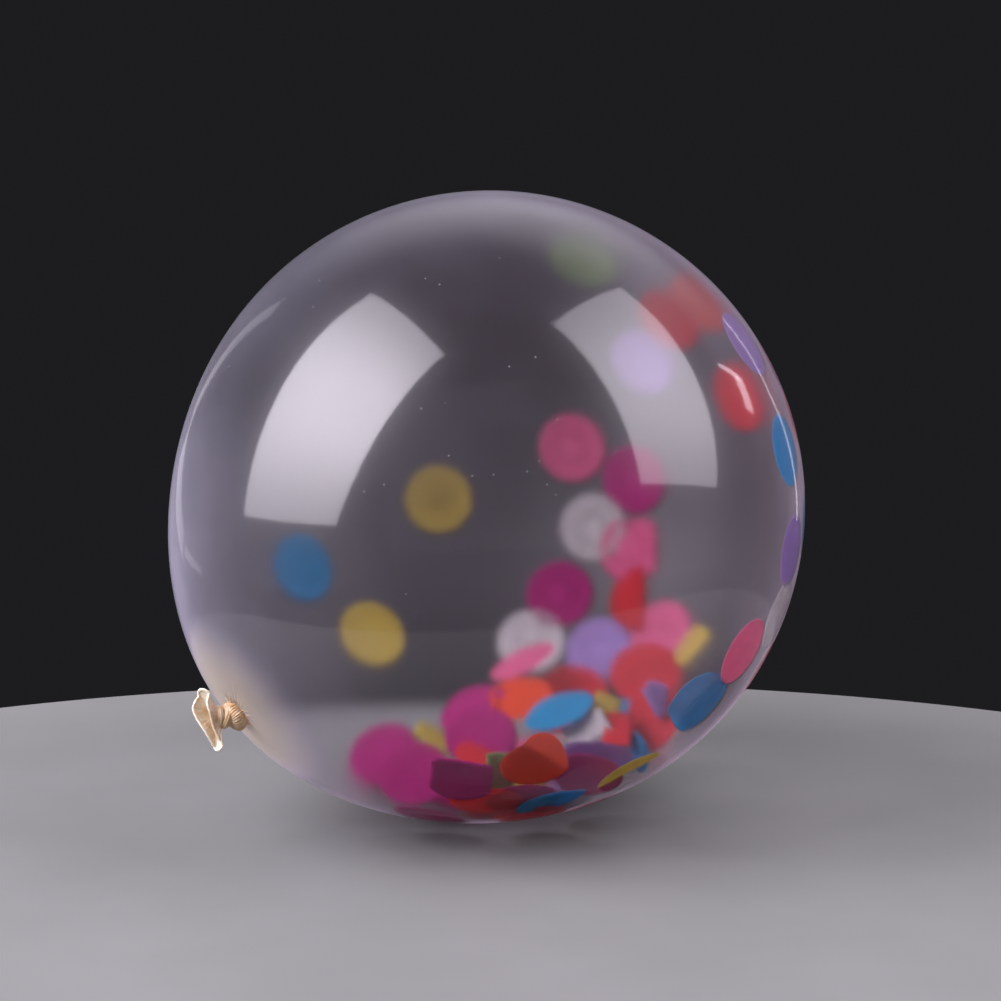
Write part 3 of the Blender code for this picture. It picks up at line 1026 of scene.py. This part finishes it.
def make_tissue_grain():
    """Fibres and cloudy patches of tissue paper, as a group that every colour uses."""
    group = bpy.data.node_groups.new("tissue_grain", 'ShaderNodeTree')
    face = group.interface
    face.new_socket("Colour", in_out='INPUT', socket_type='NodeSocketColor')
    face.new_socket("Cloudiness", in_out='INPUT', socket_type='NodeSocketFloat')
    face.new_socket("Colour", in_out='OUTPUT', socket_type='NodeSocketColor')
    face.new_socket("Fibres", in_out='OUTPUT', socket_type='NodeSocketFloat')
    nodes = Nodes(group)
    given = nodes.add('NodeGroupInput')
    place = nodes.add('ShaderNodeTexCoord').outputs["Object"]
    clouds = nodes.ramp(nodes.noise(place, *CLOUD_NOISE), *CLOUD_RAMP)
    stretched = nodes.add('ShaderNodeMapping', {"Vector": place, **FIBRE_STRETCH})
    fibres = nodes.noise(stretched.outputs[0], *FIBRE_NOISE)
    tint = nodes.add('ShaderNodeUVMap', uv_map=TINT_MAP).outputs[0]
    apart = nodes.add('ShaderNodeSeparateXYZ', {"Vector": tint})
    paler = nodes.math('MULTIPLY_ADD', apart.outputs["X"], *DISC_SHADES)
    uneven = nodes.math('MULTIPLY_ADD', clouds, given.outputs["Cloudiness"], paler)
    shade = nodes.add('ShaderNodeHueSaturation', {
        "Color": given.outputs["Colour"],
        "Value": nodes.math('MULTIPLY_ADD', fibres, FIBRE_SHADE, uneven)})
    nodes.add('NodeGroupOutput', {"Colour": shade.outputs[0], "Fibres": fibres})
    return group


def make_tissue_material(name, colour, grain):
    """Thin matt paper that lets some light through."""
    material = new_material(name + "_tissue")
    nodes = Nodes(material.node_tree)
    texture = nodes.add('ShaderNodeGroup', node_tree=grain)
    nodes.feed(texture.inputs["Colour"], (*colour, 1.0))
    nodes.feed(texture.inputs["Cloudiness"], CLOUDINESS)
    paper = nodes.shader('ShaderNodeBsdfPrincipled', {
        "Base Color": texture.outputs["Colour"],
        "Normal": nodes.bump(texture.outputs["Fibres"], FIBRE_BUMP, GRAIN_HEIGHT),
        **PAPER_FINISH})
    through = nodes.shader('ShaderNodeBsdfTranslucent', {"Color": texture.outputs["Colour"]})
    nodes.surface(nodes.mix_shaders(PAPER_LETS_THROUGH, paper, through))
    return material


# Studio

def make_floor():
    """Pale oval table top, mostly in front of the balloon, so that the dark shows through it."""
    table = bmesh.new()
    place = Matrix.Translation((0.0, -FLOOR_FORWARD, -FLOOR_THICKNESS / 2))
    place = place @ Matrix.Diagonal((FLOOR_HALF_WIDTH, FLOOR_HALF_DEPTH, 1.0, 1.0))
    bmesh.ops.create_cone(table, cap_ends=True, segments=FLOOR_SEGMENTS, radius1=1.0,
                          radius2=1.0, depth=FLOOR_THICKNESS, matrix=place)
    mesh = finished_mesh("floor", table)
    floor = bpy.data.objects.new("floor", mesh)
    bpy.context.scene.collection.objects.link(floor)
    material = new_material("pale_floor")
    nodes = Nodes(material.node_tree)
    coordinates = nodes.add('ShaderNodeTexCoord').outputs["Object"]
    mottled = nodes.ramp(nodes.noise(coordinates, *FLOOR_NOISE), *FLOOR_RAMP)
    nodes.surface(nodes.shader('ShaderNodeBsdfPrincipled', {
        "Base Color": nodes.mix_colour(mottled, *FLOOR_SHADES), **FLOOR_FINISH}))
    mesh.materials.append(material)


def fade_edges(lamp, edges):
    """Make a lamp's edges dimmer than its middle, across and along."""
    lamp.use_nodes = True
    lamp.node_tree.nodes.clear()
    nodes = Nodes(lamp.node_tree)
    spot = nodes.add('ShaderNodeNewGeometry').outputs["Parametric"]
    apart = nodes.add('ShaderNodeSeparateXYZ', {"Vector": spot})
    fades = []
    for side, edge in zip("XY", edges):
        off_middle = nodes.math('SUBTRACT', apart.outputs[side], LAMP_MIDDLE)
        fades.append(nodes.ramp(nodes.math('ABSOLUTE', off_middle), FADE_START, LAMP_MIDDLE,
                                1.0, edge))
    glow = nodes.shader('ShaderNodeEmission', {"Strength": nodes.math('MULTIPLY', *fades)})
    nodes.add('ShaderNodeOutputLight', {"Surface": glow})


def add_lamp(name, size, radiance, place):
    """Rectangle of light, seen only in what it lights and in mirror images."""
    lamp = bpy.data.lights.new(name, 'AREA')
    lamp.shape = 'RECTANGLE'
    lamp.size, lamp.size_y = size
    lamp.energy = radiance * math.pi * lamp.size * lamp.size_y
    lamp.color = LIGHT_TINT
    holder = bpy.data.objects.new(name, lamp)
    bpy.context.scene.collection.objects.link(holder)
    holder.matrix_world = place
    holder.visible_camera = False
    holder.visible_transmission = False
    return lamp


def add_softbox(name, box):
    """Large soft light that faces the balloon."""
    towards = box["towards"].normalized()
    lean = Matrix.Rotation(math.radians(box["lean"]), 4, 'Z')
    place = Matrix.Translation(BODY_MIDDLE + towards * SOFTBOX_DISTANCE) @ facing(towards) @ lean
    lamp = add_lamp(name, box["size"], box["radiance"], place)
    if min(box["edges"]) < 1.0:
        fade_edges(lamp, box["edges"])


def add_strip(name, start_pixel, end_pixel, width, radiance):
    """Narrow light whose mirror image runs from one pixel of the photograph to another."""
    start, end = (mirrored_place(pixel) for pixel in (start_pixel, end_pixel))
    middle = (start + end) / 2
    along = end - start
    place = Matrix.Translation(BODY_MIDDLE + middle) @ disc_axes(middle, along).to_4x4()
    add_lamp(name, (along.length, width), radiance, place)


def light_studio():
    for name, box in SOFTBOXES.items():
        add_softbox(name, box)
    for name, strip in STRIPS.items():
        add_strip(name, *strip)
    world = bpy.data.worlds.new("studio")
    world.use_nodes = True
    world.node_tree.nodes["Background"].inputs["Color"].default_value = ROOM_COLOUR
    bpy.context.scene.world = world
    bpy.context.scene.view_settings.view_transform = 'Standard'


def add_camera():
    camera = bpy.data.cameras.new("camera")
    camera.sensor_width = SENSOR_WIDTH
    camera.lens = FOCAL_PIXELS * SENSOR_WIDTH / IMAGE_SIZE
    camera.shift_x = (IMAGE_SIZE / 2 - MIDDLE_PIXEL[0]) / IMAGE_SIZE
    camera.shift_y = (MIDDLE_PIXEL[1] - IMAGE_SIZE / 2) / IMAGE_SIZE
    holder = bpy.data.objects.new("camera", camera)
    bpy.context.scene.collection.objects.link(holder)
    holder.location = BODY_MIDDLE + NEARER * CAMERA_DISTANCE
    holder.rotation_euler = (math.pi / 2 - CAMERA_RISE, 0.0, 0.0)
    bpy.context.scene.camera = holder


def main():
    film = make_film_material()
    gathered = make_gathered_material()
    grain = make_tissue_grain()
    tissues = {name: make_tissue_material(name, colour, grain)
               for name, colour in TISSUE_COLOURS.items()}
    make_skin(film)
    make_collar(gathered)
    make_loose_pleats(gathered)
    make_core(gathered)
    make_turn("inner_turn", INNER_TURN, gathered)
    make_turn("outer_turn", OUTER_TURN, gathered)
    make_mouth(gathered)
    confetti = Confetti()
    place_far_discs(confetti)
    place_near_discs(confetti)
    place_loose_discs(confetti)
    fill_pile(confetti)
    confetti.finish(tissues)
    make_floor()
    light_studio()
    add_camera()


main()
